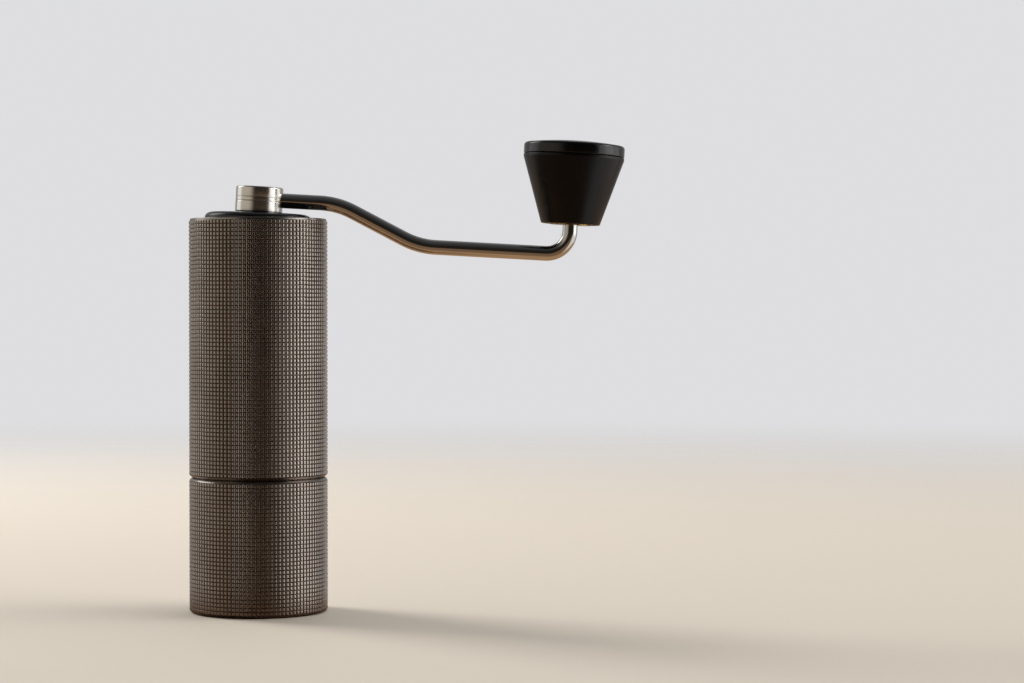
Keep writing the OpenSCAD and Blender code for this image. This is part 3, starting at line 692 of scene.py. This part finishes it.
# a daylit room: a window and a white door to the sides, a dim room in front, dark overhead; below the height
# of the table the same walls are in shade
walls = addNode(tree, "ShaderNodeValToRGB", None, {"Fac": wholeTurn.outputs[0]},
                wallStops(room["walls"]))
shaded = addNode(tree, "ShaderNodeValToRGB", None, {"Fac": wholeTurn.outputs[0]},
                 wallStops(room["shadedWalls"]))
frontToRear = addNode(tree, "ShaderNodeMapRange", None,
                      {"Value": front.outputs[0], "From Min": 1.0, "From Max": -1.0})
roof = addNode(tree, "ShaderNodeValToRGB", None, {"Fac": frontToRear.outputs[0]}, room["roof"])
overhead = addNode(tree, "ShaderNodeMapRange", {"interpolation_type": "SMOOTHSTEP"},
                   {"Value": along.outputs["Z"], "From Min": room["roofFrom"][0],
                    "From Max": room["roofFrom"][1]})
withRoof = addNode(tree, "ShaderNodeMix", {"data_type": "RGBA"},
                   {0: overhead.outputs[0], 6: walls.outputs["Color"], 7: roof.outputs["Color"]})
below = addNode(tree, "ShaderNodeMapRange", {"interpolation_type": "SMOOTHSTEP"},
                {"Value": along.outputs["Z"], "From Min": room["shadeFrom"][0],
                 "From Max": room["shadeFrom"][1]})
withShade = addNode(tree, "ShaderNodeMix", {"data_type": "RGBA"},
                    {0: below.outputs[0], 6: withRoof.outputs[2], 7: shaded.outputs["Color"]})
# the point where a downward ray meets the table is counted in heights above it
down = addNode(tree, "ShaderNodeMath", {"operation": "MULTIPLY"}, {0: along.outputs["Z"], 1: -1.0})
steepness = addNode(tree, "ShaderNodeMath", {"operation": "MAXIMUM"}, {0: down.outputs[0], 1: 0.01})
length = addNode(tree, "ShaderNodeMath", {"operation": "DIVIDE"}, {0: 1.0, 1: steepness.outputs[0]})
meets = addNode(tree, "ShaderNodeVectorMath", {"operation": "SCALE"},
                {0: direction, "Scale": length.outputs[0]})
fromMiddle = addNode(tree, "ShaderNodeVectorMath", {"operation": "DISTANCE"},
                     {0: meets.outputs[0], 1: room["tableMiddle"]})
onTable = addNode(tree, "ShaderNodeMapRange", {"interpolation_type": "SMOOTHSTEP"},
                  {"Value": fromMiddle.outputs["Value"], "From Min": room["tableEdge"][0],
                   "From Max": room["tableEdge"][1]})
withTable = addNode(tree, "ShaderNodeMix", {"data_type": "RGBA"},
                    {0: onTable.outputs[0], 6: withShade.outputs[2], 7: linear(room["table"])})
roomLight = addNode(tree, "ShaderNodeBackground", None,
                    {"Color": withTable.outputs[2], "Strength": room["strength"]})
backdrop = addNode(tree, "ShaderNodeBackground", None, {"Color": linear(room["backdrop"]), "Strength": 1.0})
isCamera = addNode(tree, "ShaderNodeLightPath").outputs["Is Camera Ray"]
both = addNode(tree, "ShaderNodeMixShader", None,
               {0: isCamera, 1: roomLight.outputs[0], 2: backdrop.outputs[0]})
addNode(tree, "ShaderNodeOutputWorld", None, {"Surface": both.outputs[0]})
bpy.context.scene.view_settings.view_transform = "Standard"
print("room ready")


# lamps

lamps = {
    # azimuth and elevation in degrees, distance and size in metres, power in watts, shows in reflections
    "window": (-125, 28, 1.6, (0.6, 0.9), 19, False),
    "window glint": (-125, 36, 1.7, (0.6, 0.8), 3.5, True),
    "door glint": (98, 38, 1.6, (0.45, 0.45), 2.2, True),
    "side panel": (85, 15, 1.5, (1.3, 1.2), 8, False),
    "sky": (150, 70, 1.8, (1.6, 1.6), 12, False),
}
aim = Vector((0.03, 0, rim * 0.6))      # a little towards the knob, just over half way up the body
for name, (azimuth, elevation, distance, size, power, reflected) in lamps.items():
    light = bpy.data.lights.new(name, "AREA")
    light.shape = "RECTANGLE"
    light.size, light.size_y = size
    light.energy = power
    lamp = bpy.data.objects.new(name, light)
    bpy.context.scene.collection.objects.link(lamp)
    lamp.visible_glossy = reflected
    a, e = math.radians(azimuth), math.radians(elevation)
    away = Vector((math.sin(a) * math.cos(e), -math.cos(a) * math.cos(e), math.sin(e)))
    lamp.location = aim + away * distance
    lamp.rotation_euler = away.to_track_quat("Z", "Y").to_euler()
print("lamps ready")


# camera

view = {
    "lens": 91.4,           # mm
    "sensor": 36.0,
    "across": 0.0956,       # metres to the right of the body's middle
    "away": 0.980,
    "height": 0.118,
    "pitch": 0.948,         # degrees downwards
}
cameraData = bpy.data.cameras.new("camera")
cameraData.lens = view["lens"]
cameraData.sensor_width = view["sensor"]
camera = bpy.data.objects.new("camera", cameraData)
bpy.context.scene.collection.objects.link(camera)
camera.location = (view["across"], -view["away"], view["height"])
camera.rotation_euler = (math.radians(90 - view["pitch"]), 0, 0)
bpy.context.scene.camera = camera
print("camera ready")
